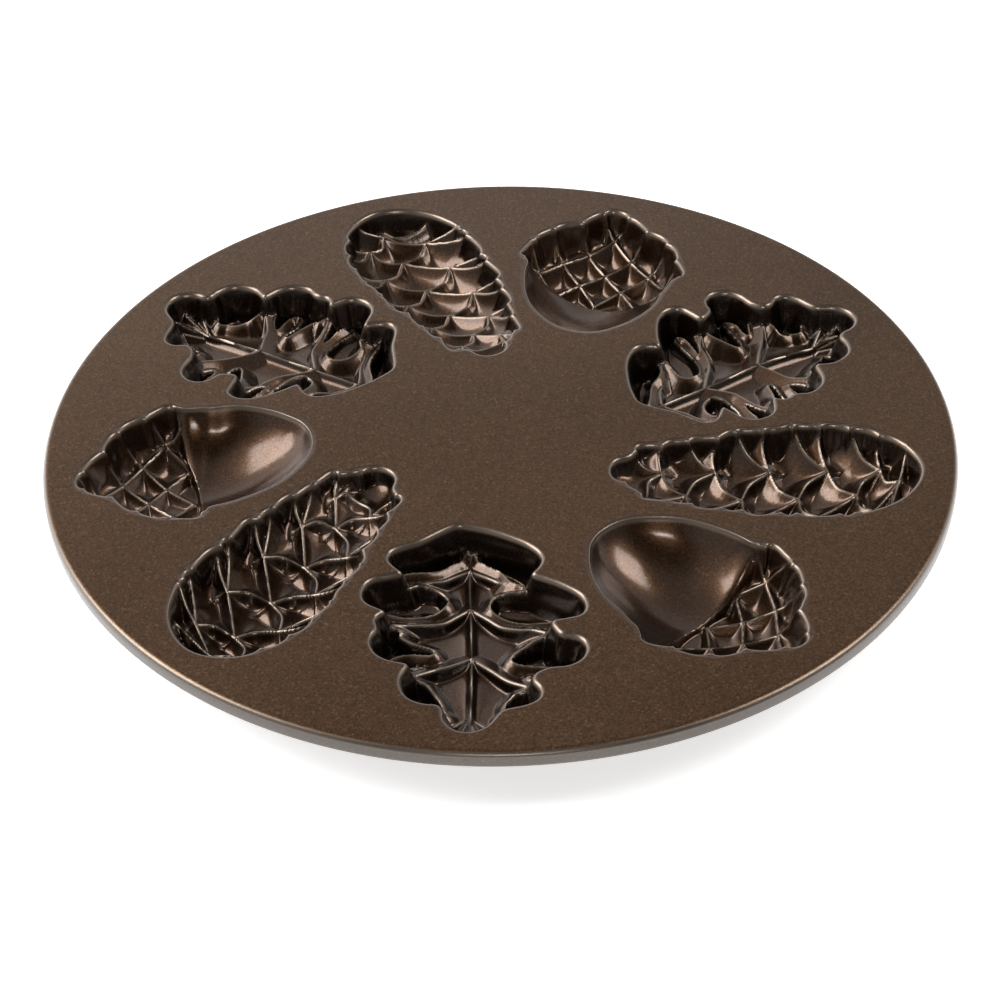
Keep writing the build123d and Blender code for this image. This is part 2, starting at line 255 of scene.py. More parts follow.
def cusps(P, d, loop, points, size, width):
    """How far the deck reaches in between two scallops of the mouth."""
    out = np.zeros(len(P))
    near = np.abs(d) < 6.0
    if not near.any():
        return out
    _, where, _ = seg_dist(P[near], loop, closed=True)
    n = len(loop)
    step = np.hypot(*(np.roll(loop, -1, 0) - loop).T).mean()
    best = np.zeros(near.sum())
    for q in points:
        k = np.argmin(np.hypot(*(loop - np.array(q)).T))
        away = np.abs(where - k)
        away = np.minimum(away, n - away) * step
        best = np.maximum(best, size * np.exp(-away / width))
    out[near] = best
    return out


def crest_value(line, where, values):
    """A value given at the line's points, read at places along it."""
    return np.interp(where, np.arange(len(line)), values)


# ------------------------------------------------------------------ leaf
LEAF_VEINS = [
    # points with the depth of the crest at each
    [(-0.3, 43.5, 12.6), (-0.5, 36.5, 10.2), (-0.4, 17.0, 10.0), (0.0, -8.0, 9.3),
     (-0.3, -24.0, 10.0), (-0.6, -33.0, 10.8), (-1.0, -45.0, 9.0)],
    [(-0.5, 36.5, 10.2), (-5.0, 34.4, 10.2), (-10.0, 31.6, 10.0), (-17.0, 29.6, 9.0), (-22.6, 25.8, 6.5)],
    [(-0.5, 36.5, 10.2), (5.0, 33.6, 10.2), (10.0, 30.0, 9.8), (15.0, 26.4, 8.6), (20.0, 23.6, 6.5)],
    [(-0.4, 17.0, 10.0), (-5.0, 13.2, 9.8), (-10.0, 9.7, 9.6), (-17.0, 8.6, 9.0), (-22.0, 7.8, 8.2), (-27.2, 6.6, 6.5)],
    [(-0.4, 17.0, 10.0), (5.0, 12.2, 9.8), (10.0, 7.6, 9.6), (16.0, 5.4, 9.0), (21.0, 4.4, 8.2), (26.2, 0.6, 6.5)],
    [(0.0, -8.0, 9.3), (-7.0, -11.0, 9.4), (-13.0, -13.2, 9.2), (-20.4, -18.6, 6.8)],
    [(0.0, -8.0, 9.3), (6.0, -13.0, 9.6), (12.0, -18.6, 9.4), (20.0, -24.4, 7.0)],
]
LEAF_POCKETS = [
    # hollows between the veins and the wall, with the depth of the edge at
    # each point; in the four long lobes they run round a raised tongue
    [(-48, 29, 7.0), (-21, 33.0, 7.2), (-12, 34.8, 8.4), (-6, 39.5, 9.2), (-2.6, 43.5, 9.6),
     (-2.4, 60, 9.0), (-48, 60, 7.0)],
    [(2.0, 43.5, 9.6), (4, 39.5, 9.2), (10, 34.4, 8.6), (18, 25.5, 7.2), (48, 24, 7.0),
     (48, 60, 7.0), (2.0, 60, 9.0)],
    [(-48, 26, 6.5), (-25, 23.5, 6.2), (-18, 26.8, 7.4), (-11.5, 25.2, 8.6), (-8.2, 21, 8.7),
     (-9.0, 17.2, 8.7), (-13.5, 14.8, 10.2), (-22, 14.8, 11.2), (-29.4, 16.6, 11.0),
     (-31.0, 13.8, 11.2), (-27.0, 11.0, 11.0), (-18.5, 10.8, 10.4), (-17.5, 9.9, 9.4),
     (-27.0, 8.4, 8.0), (-48, 7, 7.0)],
    [(48, 23, 6.5), (22, 22, 6.6), (12, 22.4, 8.0), (7.4, 20.6, 8.7), (6.6, 15.6, 8.7),
     (10.5, 12.0, 9.8), (16.7, 10.0, 10.4), (24, 9.8, 10.0), (30.0, 9.8, 9.6),
     (31.6, 7.2, 9.6), (28.0, 5.8, 9.6), (19.0, 7.0, 9.6), (18.4, 6.2, 9.0),
     (28.0, 3.2, 7.6), (48, 1.6, 7.0)],
    [(-48, 5, 6.5), (-26, 4.6, 6.4), (-23.8, 1.6, 7.6), (-19, -1.2, 8.6), (-12.8, -3.4, 9.2),
     (-13.8, -5.4, 9.6), (-20.9, -4.2, 10.2), (-26.2, -5.6, 10.4), (-27.8, -8.2, 10.8),
     (-25.2, -10.8, 10.8), (-17.0, -10.6, 10.4), (-16.2, -12.0, 9.8), (-24, -15.4, 8.0),
     (-48, -17, 7.0)],
    [(48, -1, 6.5), (25.5, -1.2, 6.4), (17.5, -4.6, 7.8), (13.2, -8.0, 9.0), (14.6, -10.4, 9.4),
     (20, -11.4, 9.8), (28.8, -12.4, 9.8), (30.6, -14.6, 10.2), (27, -16.8, 10.2),
     (19.8, -16.0, 10.0), (19.0, -17.6, 9.4), (27, -20.4, 8.0), (48, -21.4, 7.0)],
    [(-48, -19, 6.5), (-20, -19.8, 6.6), (-12.5, -24, 9.4), (-9.6, -30, 10.4), (-12, -35, 9.4),
     (-48, -38, 7.0)],
    [(48, -25, 6.5), (18.5, -26, 6.8), (12, -27.5, 9.6), (10.6, -31, 10.4), (12.5, -37, 9.4),
     (48, -40, 7.0)],
]

def leaf_floor(P):
    z = np.full(len(P), -13.5)
    cut = np.full(len(P), 99.0)
    for pocket in LEAF_POCKETS:
        line = smooth_line(np.array(pocket, float), closed=True, sub=6)
        dist, where, _ = seg_dist(P, line[:, :2], closed=True)
        deep = np.where(inside(P, line[:, :2]), dist, -dist)
        lip = np.interp(where, np.arange(len(line) + 1), np.append(line[:, 2], line[0, 2]))
        # a raised band runs round every hollow and falls away from it
        out = np.maximum(-deep, 0)
        band = -(lip + 0.48 * out + 0.10 * np.minimum(out, 3) ** 2
                 + 0.55 * np.maximum(out - 3.0, 0))
        z = smax(z, band, 0.6)
        drop = 15.4 - 2.0 * np.exp(-np.maximum(deep, 0) / 5.0)
        cut = np.minimum(cut, smax(-drop, -(lip - 0.2 + 2.6 * deep), 1.2))
    for k, vein in enumerate(LEAF_VEINS):
        v = np.array(vein)
        line = smooth_line(v, closed=False, sub=6)
        dist, where, side = seg_dist(P, line[:, :2])
        crest = crest_value(line, where, line[:, 2])
        dist = rounded(dist, 0.35)
        if k == 0:
            ridge = -(crest + 2.8 * (1 - np.exp(-dist / 1.1)) + 0.16 * dist)
            z = smax(z, ridge, 0.30)
            continue
        # a gentle slope on the tip's side and a high step on the stem's side
        right = v[-1, 0] > 0
        tipward = side > 0 if right else side < 0
        ridge = -(crest + np.where(tipward, 0.62, 2.3) * dist)
        z = np.where(tipward, smax(z, ridge, 0.15), smax(z, ridge, 1.3))
    z = smin(z, cut, 0.3)
    # small fan of ribs at the stem's end
    for a in (-38, -14, 10, 34):
        c, s = math.sin(math.radians(a)), -math.cos(math.radians(a))
        line = np.array([(-1.0 + 3.0 * c, -32.0 + 3.0 * s),
                         (-1.0 + 16 * c, -32.0 + 16 * s)])
        dist, where, _ = seg_dist(P, line)
        crest = 11.6 - 4.6 * np.clip(where, 0, 1)
        z = smax(z, -(crest + 1.1 * dist), 0.25)
    return z


def leaf_height(P, d):
    return smax(wall(d, 3.4, 0.44), leaf_floor(P), 1.0)


# ------------------------------------------------------------------ acorn
ACORN_EDGE = [  # where the nut meets the cap, with the depth there
    (22.4, 19.6, 0.0), (21.0, 17.6, 7.0), (18.8, 15.0, 12.2), (15.6, 11.8, 16.2),
    (11.2, 8.0, 19.0), (6.2, 3.8, 20.6), (1.2, -0.6, 21.0), (-3.6, -4.8, 20.7),
    (-7.6, -9.6, 19.6), (-11.0, -14.4, 17.2), (-14.8, -18.3, 12.8), (-18.5, -21.8, 7.0),
    (-20.7, -25.3, 0.0)]
ACORN_NET = [
    [(-10.4, -14.4), (-11.2, -22.0), (-11.8, -33.0)],
    [(3.8, -0.8), (3.6, -13.4), (1.4, -25.2), (1.2, -36.0)],
    [(14.6, 10.6), (15.8, -1.6), (14.8, -13.2), (13.8, -25.0), (14.0, -35.0)],
    [(22.4, 18.4), (24.6, 11.6), (26.8, -0.9), (26.4, -13.0), (26.4, -25.2), (26.0, -34.0)],
    [(14.8, 11.4), (24.6, 11.8), (35.5, 10.0)],
    [(3.6, -1.0), (15.6, -1.6), (26.8, -0.9), (37.0, -1.6)],
    [(-9.6, -12.2), (3.8, -13.4), (14.8, -13.2), (26.4, -13.0), (36.0, -14.0)],
    [(-17.0, -21.0), (-10.8, -24.0), (1.4, -25.3), (13.8, -25.1), (26.4, -25.2), (36.0, -25.6)],
]
ACORN_CUSPS = [(-11.8, -33.0), (1.2, -37.0), (13.8, -35.0), (26.0, -34.0), (36.0, -25.6),
               (36.0, -14.0), (37.0, -1.6), (35.5, 10.0), (24.6, 20.0)]
ACORN_C = (0.4, -0.8)


def acorn_frame(P):
    x, y = P[:, 0] - ACORN_C[0], P[:, 1] - ACORN_C[1]
    return (x - y) / math.sqrt(2), (x + y) / math.sqrt(2)


def spread(P, loop, centre):
    """How far out a point lies, as a share of the way to the outline."""
    d = P - np.array(centre)
    ang = np.arctan2(d[:, 1], d[:, 0])
    q = loop - np.array(centre)
    oa = np.arctan2(q[:, 1], q[:, 0])
    orad = np.hypot(*q.T)
    order = np.argsort(oa)
    oa, orad = oa[order], orad[order]
    oa = np.concatenate([oa - 2 * np.pi, oa, oa + 2 * np.pi])
    orad = np.tile(orad, 3)
    return np.hypot(*d.T) / np.interp(ang, oa, orad)


def many_lines(P, lines, power):
    """Soft distance to the nearest of several lines."""
    total = np.zeros(len(P))
    for line in lines:
        d = seg_dist(P, smooth_line(np.array(line)[:, :2], closed=False, sub=5))[0]
        total += np.maximum(d, 0.02) ** -power
    return total ** (-1.0 / power)


def acorn_floor(P, d, loop):
    u, v = acorn_frame(P)
    rho = np.clip(spread(P, loop, ACORN_C), 0, 0.9995)
    nut = 20.3 * (1 - rho ** 2.05) ** 0.76
    edge = np.array(ACORN_EDGE)
    line = smooth_line(edge, closed=False, sub=6)
    dist, where, side = seg_dist(P, line[:, :2])
    on_cap = side > 0

    def bowl_depth(a, b):
        return 21.6 * np.sqrt(np.clip(1 - ((a + 28.0) / 71.5) ** 2 - (b / 38.6) ** 2, 0, 1))

    bowl = bowl_depth(u, v)
    gap = crest_value(line, where, line[:, 2] - bowl_depth(*acorn_frame(line[:, :2])))
    bowl = bowl + gap * np.exp(-dist / 3.0)
    # the crests climb the wall to the lip, the scales between them cut into it
    bowl = smin(bowl, 1.75 * np.maximum(d, 0) + 0.6, 1.0)
    net = rounded(many_lines(P, ACORN_NET, 8.0), 0.40)
    pit = 4.8 * (1 - (1 - np.clip(net / 5.2, 0, 1)) ** 2.0) * np.clip(dist / 1.4, 0, 1)
    cap = smin(bowl + pit, np.full(len(P), 22.2), 0.8)
    return -np.where(on_cap, cap, nut)


def acorn_height(P, d, loop):
    floor = np.maximum(acorn_floor(P, d, loop), -22.3)
    nut_side = smooth(-acorn_frame(P)[0] / 8.0)
    steep = wall(d - cusps(P, d, loop, ACORN_CUSPS, 1.7, 2.0) + 0.1, 3.2, 0.38)
    gentle = wall(d, 1.9, 0.75)
    return smax(steep * (1 - nut_side) + gentle * nut_side, floor, 0.9)


# ------------------------------------------------------------------ pine cone
CONE_A = [(-42.0, -2.0, 6.5), (-28.2, -1.5, 9.2), (-8.2, -0.8, 12.4), (12.2, -0.4, 13.0), (33.2, 0.0, 11.4), (48.2, 2.0, 7.5)]
CONE_U = [(-36.5, 7.4, 6.6), (-17.0, 10.8, 9.4), (3.0, 11.8, 10.4), (24.0, 12.0, 10.0), (42.6, 10.0, 7.0)]
CONE_L = [(-38.0, -8.2, 6.2), (-21.6, -11.2, 8.0), (-2.6, -14.0, 8.8), (18.0, -14.2, 8.6), (37.4, -12.6, 6.4)]

CONE_TEETH = [
    [(-46.5, 13.5), (-26.5, 20.0), (-9.0, 24.8), (11.8, 27.0), (33.0, 25.0)],
    [(-36.0, 17.2), (-15.5, 21.0), (1.4, 25.0), (22.0, 26.8), (43.5, 20.6)],
    [(-51.5, -6.0), (-36.2, -16.2), (-17.8, -21.2), (2.4, -24.8), (23.2, -26.0)],
    [(-46.2, -11.6), (-28.4, -18.4), (-10.8, -22.6), (8.2, -25.2), (29.0, -25.4)],
]


def bend(a, b, push):
    """A bowed ridge between two points, listed from its lower y upwards."""
    a, b = np.array(a), np.array(b)
    mid = (a + b) / 2 + np.array(push)
    line = [tuple(a), tuple(mid), tuple(b)]
    return line if a[1] < b[1] else line[::-1]


def cone_lines():
    out = []
    A, U, L = CONE_A, CONE_U, CONE_L
    # from each upper point down to the axis points on either side
    for k in range(5):
        out.append(bend(A[k + 1][:2], U[k][:2], (-1.6, -1.4)))
        out.append(bend(A[k][:2], U[k][:2], (-1.8, 1.4)))
        out.append(bend(A[k + 1][:2], L[k][:2], (-0.4, -0.2)))
        out.append(bend(A[k][:2], L[k][:2], (-2.2, -1.6)))
    # from the upper and lower points out to the teeth of the mouth
    for k in range(5):
        out.append(bend(U[k][:2], CONE_TEETH[0][k], (-1.2, -1.0)))
        out.append(bend(U[k][:2], CONE_TEETH[1][k], (-1.0, 0.4)))
        out.append(bend(L[k][:2], CONE_TEETH[2][k], (-0.6, 0.0)))
        out.append(bend(L[k][:2], CONE_TEETH[3][k], (0.8, -0.6)))
    out.append([(43.5, -18.5), (44.5, -9.0), (48.2, 2.0)])
    out.append([(48.2, 2.0), (50.5, 8.5), (51.6, 13.0)])
    return out


def cone_floor(P, loop):
    ax, bx = -38.0, 33.0
    qx = np.clip(P[:, 0], ax, bx)
    q = np.stack([qx, np.interp(qx, [-38, 0, 33], [0.4, -0.4, 1.4])], 1)
    d = P - q
    r = np.hypot(*d.T)
    ang = np.arctan2(d[:, 1], d[:, 0])
    # the outline seen from the spine point
    up = np.interp(qx, [-55, -46, -36, -25, -10, 2, 12, 26, 35, 46, 55], [6, 13, 17, 19.6, 23.4, 24.4, 26.0, 26, 23.6, 18, 6])
    low = -np.interp(qx, [-55, -46, -36, -25, -10, 2, 12, 26, 35, 46, 55], [1, 11.2, 15.6, 19.2, 22, 24, 25, 25.4, 22.4, 16, 3])
    half = np.where(P[:, 1] > q[:, 1], up - q[:, 1], q[:, 1] - low)
    endlen = np.where(P[:, 0] < ax, 16.5, 21.5)
    reach = np.where((P[:, 0] < ax) | (P[:, 0] > bx),
                     1.0 / np.sqrt((np.cos(ang) / endlen) ** 2 + (np.sin(ang) / half) ** 2), half)
    rho = np.clip(r / reach, 0, 0.999)
    spine = np.interp(qx, [-38, -30, -10, 10, 31, 33], [7.6, 9.4, 12.6, 13.2, 12.4, 12.2])
    crest = spine * (1 - rho ** 2.0) ** 0.70
    # every scale drops steeply behind one crest and rises slowly to the next
    near = np.zeros(len(P))
    far = np.zeros(len(P))
    for ridge in cone_lines():
        dist, _, side = seg_dist(P, smooth_line(np.array(ridge), closed=False, sub=5))
        share = np.maximum(dist, 0.02) ** -6.0
        near += np.where(side <= 0, share, share * 1e-3)
        far += np.where(side > 0, share, share * 1e-3)
    near = near ** (-1 / 6.0)
    far = far ** (-1 / 6.0)
    pit = smin(2.4 * rounded(near, 0.40), 1.15 * rounded(far, 0.40), 0.5)
    most = 6.4 + 4.0 * rho ** 2
    pit = most * (1 - np.exp(-np.maximum(pit, 0) / most * 1.35))
    narrow = np.interp(P[:, 0], [-50, -30, -10], [0.55, 0.8, 1.0])
    deep = smin(crest + pit * narrow, np.full(len(P), 19.2), 0.8)
    return -deep


def cone_height(P, d, loop):
    teeth = [q for row in CONE_TEETH for q in row]
    lip = cusps(P, d, loop, teeth, 1.7, 1.9) - 0.1
    return smax(wall(d - lip, 3.3, 0.38), cone_floor(P, loop), 0.8)


# ------------------------------------------------------------------ meshes
TOP_RINGS = [-SEAM, -1.4, -1.2, -1.0, -0.8, -0.6, -0.42, -0.25, -0.1,
             0.05, 0.2, 0.36, 0.54, 0.75, 1.0, 1.3, 1.65, 2.05, 2.5, 3.0]
UNDER_RINGS = [-SEAM, -1.4, -1.05, -0.6, 0.0, 0.7, 1.4, 2.2]


def plan_mesh(loop, offsets, grid):
    """Plan points and faces: rings near the outline, then a square grid."""
    ring = rings(loop, offsets)
    n = len(loop)
    pts = np.vstack(ring)
    faces = []
    for k in range(len(ring) - 1):
        for i in range(n):
            j = (i + 1) % n
            faces.append((k * n + i, k * n + j, (k + 1) * n + j, (k + 1) * n + i))
    last = ring[-1]
    lo, hi = last.min(0), last.max(0)
    xs = np.arange(math.floor(lo[0] / grid), math.ceil(hi[0] / grid) + 1) * grid
    ys = np.arange(math.floor(lo[1] / grid), math.ceil(hi[1] / grid) + 1) * grid
    X, Y = np.meshgrid(xs, ys, indexing="ij")
    G = np.stack([X.ravel(), Y.ravel()], 1)
    ok = (signed(G, last) > grid * 0.6).reshape(X.shape)
    cell = ok[:-1, :-1] & ok[1:, :-1] & ok[1:, 1:] & ok[:-1, 1:]
    # leave out single cells that touch others only at a corner
    for _ in range(3):
        c = np.pad(cell, 1)
        a = (c[:-1, :-1] & c[1:, 1:] & ~c[1:, :-1] & ~c[:-1, 1:])
        b = (~c[:-1, :-1] & ~c[1:, 1:] & c[1:, :-1] & c[:-1, 1:])
        bad = a | b
        if not bad.any():
            break
        for i, j in zip(*np.nonzero(bad)):
            for di, dj in ((-1, -1), (0, 0), (-1, 0), (0, -1)):
                ii, jj = i + di, j + dj
                if 0 <= ii < cell.shape[0] and 0 <= jj < cell.shape[1]:
                    cell[ii, jj] = False
    number = -np.ones(X.shape, int)
    base = len(pts)
    used = np.zeros(X.shape, bool)
    used[:-1, :-1] |= cell
    used[1:, :-1] |= cell
    used[1:, 1:] |= cell
    used[:-1, 1:] |= cell
    number[used] = base + np.arange(used.sum())
    pts = np.vstack([pts, np.stack([X[used], Y[used]], 1)])
    count = {}
    ii, jj = np.nonzero(cell)
    for i, j in zip(ii, jj):
        f = (number[i, j], number[i + 1, j], number[i + 1, j + 1], number[i, j + 1])
        faces.append(f)
    c = np.pad(cell, 1)
    edges = []
    for i, j in zip(ii, jj):
        if not c[i + 1, j]:
            edges.append((number[i, j], number[i + 1, j]))
        if not c[i + 1, j + 2]:
            edges.append((number[i, j + 1], number[i + 1, j + 1]))
        if not c[i, j + 1]:
            edges.append((number[i, j], number[i, j + 1]))
        if not c[i + 2, j + 1]:
            edges.append((number[i + 1, j], number[i + 1, j + 1]))
    # the strip between the grid and the last ring
    m = len(ring) - 1
    ids = [m * n + i for i in range(n)]
    rim = sorted({v for e in edges for v in e})
    local = {v: i for i, v in enumerate(ids + rim)}
    vs = [Vector(pts[v]) for v in ids + rim]
    es = [(i, (i + 1) % n) for i in range(n)] + [(local[a], local[b]) for a, b in edges]
    got = delaunay_2d_cdt(vs, es, [], 1, 1e-6)
    if len(got[0]) != len(vs):
        raise RuntimeError("the strip's outline crosses itself")
    back = ids + rim
    tri = np.array([[back[v] for v in f] for f in got[2]])
    mid = pts[tri].mean(1)
    gi = np.floor(mid[:, 0] / grid - math.floor(lo[0] / grid)).astype(int)
    gj = np.floor(mid[:, 1] / grid - math.floor(lo[1] / grid)).astype(int)
    gi = np.clip(gi, 0, cell.shape[0] - 1)
    gj = np.clip(gj, 0, cell.shape[1] - 1)
    keep = ~cell[gi, gj] & inside(mid, last)
    tri = tri[keep]
    return pts, faces, [tuple(t) for t in tri], n


def area2(pts, f):
    p = pts[list(f)]
    x, y = p.T
    return np.sum(x * np.roll(y, -1) - np.roll(x, -1) * y)


def facing(pts, faces, up):
    out = []
    for f in faces:
        a = area2(pts, f)
        out.append(tuple(f) if (a > 0) == up else tuple(reversed(f)))
    return out


def cup_mesh(outline, count, height, depth_limit):
    """Closed mesh of one cup about its own centre, in millimetres."""
    loop = even_loop(ease(even_loop(smooth_line(outline), count), 8), count)
    pts, quads, tris, n = plan_mesh(loop, TOP_RINGS, 0.4)
    d = signed(pts, loop)
    z = smin(height(pts, d, loop), np.zeros(len(pts)), 0.25)
    # the flat collar lies exactly in the deck's plane
    k = np.clip((d + SEAM) / 0.9, 0, 1)
    z[:len(loop) * len(TOP_RINGS)] *= smooth(k[:len(loop) * len(TOP_RINGS)])
    z[:n] = 0.0
    top = np.column_stack([pts, z])
    top_faces = facing(pts, quads + tris, True)
    # the underside follows the hollow from outside, softened
    coarse = even_loop(loop, count)
    up, uq, ut, _ = plan_mesh(coarse, UNDER_RINGS, 1.0)
    g = 1.0
    lo = up.min(0) - 6
    hi = up.max(0) + 6
    xs = np.arange(lo[0], hi[0], g)
    ys = np.arange(lo[1], hi[1], g)
    X, Y = np.meshgrid(xs, ys, indexing="ij")
    G = np.stack([X.ravel(), Y.ravel()], 1)
    dg = signed(G, loop)
    Z = height(G, dg, loop).reshape(X.shape)
    Z[dg.reshape(X.shape) < -SEAM] = 0
    low = Z.copy()
    r = 3
    for i in range(-r, r + 1):
        for j in range(-r, r + 1):
            if i * i + j * j <= r * r + 1:
                low = np.minimum(low, np.roll(np.roll(Z, i, 0), j, 1))
    for _ in range(6):
        low = (low + np.roll(low, 1, 0) + np.roll(low, -1, 0)
               + np.roll(low, 1, 1) + np.roll(low, -1, 1)) / 5
    fx = np.clip((up[:, 0] - lo[0]) / g, 0, len(xs) - 1.001)
    fy = np.clip((up[:, 1] - lo[1]) / g, 0, len(ys) - 1.001)
    ix, iy = fx.astype(int), fy.astype(int)
    tx, ty = fx - ix, fy - iy
    zi = (low[ix, iy] * (1 - tx) * (1 - ty) + low[ix + 1, iy] * tx * (1 - ty)
          + low[ix, iy + 1] * (1 - tx) * ty + low[ix + 1, iy + 1] * tx * ty)
    du = signed(up, loop)
    zu = np.maximum(zi - 2.8, -DECK_THICK - 5.5 * np.maximum(du + SEAM, 0))
    zu = np.minimum(zu, -DECK_THICK)
    zu = np.maximum(zu, depth_limit)
    # never thinner than the wall may be
    ztop = height(up, du, loop)
    zu = np.minimum(zu, ztop - 1.9)
    zu = np.maximum(zu, depth_limit)
    zu[:n] = -DECK_THICK
    under = np.column_stack([up, zu])
    under_faces = facing(up, uq + ut, False)
    N = len(top)
    verts = np.vstack([top, under])
    faces = list(top_faces) + [tuple(v + N for v in f) for f in under_faces]
    cw = clockwise(loop)
    for i in range(n):
        j = (i + 1) % n
        f = (i, N + i, N + j, j)
        faces.append(f if not cw else tuple(reversed(f)))
    return verts, faces, top[:n, :2]


def place(xy, x, y, turn):
    c, s = math.cos(math.radians(turn)), math.sin(math.radians(turn))
    return np.column_stack([x + c * xy[:, 0] - s * xy[:, 1],
                            y + s * xy[:, 0] + c * xy[:, 1]])


def mark_edges(me, deep):
    """Store where the mesh is convex, for the painted highlight on lips and
    crests, and where it is steep, for the painted shade on steep walls."""
    n = len(me.vertices)
    co = np.empty(n * 3)
    no = np.empty(n * 3)
    ed = np.empty(len(me.edges) * 2, np.int32)
    me.vertices.foreach_get("co", co)
    me.vertex_normals.foreach_get("vector", no)
    me.edges.foreach_get("vertices", ed)
    co, no, ed = co.reshape(-1, 3) * 1000, no.reshape(-1, 3), ed.reshape(-1, 2)
    a, b = ed.T
    d = co[b] - co[a]
    L2 = np.maximum((d ** 2).sum(1), 0.01)
    bend_a = -2 * (no[a] * d).sum(1) / L2
    bend_b = 2 * (no[b] * d).sum(1) / L2
    count = np.maximum(np.bincount(a, minlength=n) + np.bincount(b, minlength=n), 1)
    bent = (np.bincount(a, bend_a, n) + np.bincount(b, bend_b, n)) / count
    bent = np.clip(bent, -1.5, 1.5)
    flat = co[:, 2] > DECK_TOP - 0.03
    bent[flat] = 0.0
    for _ in range(2):
        mean = (np.bincount(a, bent[b], n) + np.bincount(b, bent[a], n)) / count
        bent = 0.5 * bent + 0.5 * mean
    # the lips just below the deck's top join the convex crests in the painted highlight
    below = DECK_TOP - co[:, 2]
    lip = smooth((below - 0.12) / 0.35) * smooth((2.1 - below) / 0.9) * (no[:, 2] > 0.05)
    edge = np.where(flat, 0.0, np.maximum(smooth((bent - 0.10) / 0.55), 0.8 * lip))
    # painted shade: steep walls get a share of darkening that the material uses to darken the base colour, standing in
    # for the shade deep in the hollows
    share, start, width = deep
    steep = share * smooth((start - no[:, 2]) / width) * smooth((no[:, 2] + 0.05) / 0.10)
    for name, value in (("edge", edge), ("steep", steep * (1 - edge))):
        layer = me.attributes.new(name, "FLOAT", "POINT")
        layer.data.foreach_set("value", value.astype(np.float32))


def make(name, verts, faces, sharp=60, deep=(0.0, 0.66, 0.40)):
    v = np.array(verts, float)
    v = np.column_stack([v[:, :2], v[:, 2] + DECK_TOP]) / 1000.0
    me = bpy.data.meshes.new(name)
    size = np.array([len(f) for f in faces])
    me.vertices.add(len(v))
    me.vertices.foreach_set("co", v.ravel())
    me.loops.add(int(size.sum()))
    me.loops.foreach_set("vertex_index", np.array([i for f in faces for i in f], np.int32))
    me.polygons.add(len(size))
    me.polygons.foreach_set("loop_start", np.concatenate([[0], np.cumsum(size)[:-1]]).astype(np.int32))
    me.update(calc_edges=True)
    me.validate()
    me.shade_smooth()
    if sharp:
        me.set_sharp_from_angle(angle=math.radians(sharp))
    mark_edges(me, deep)
    ob = bpy.data.objects.new(name, me)
    bpy.context.scene.collection.objects.link(ob)
    return ob


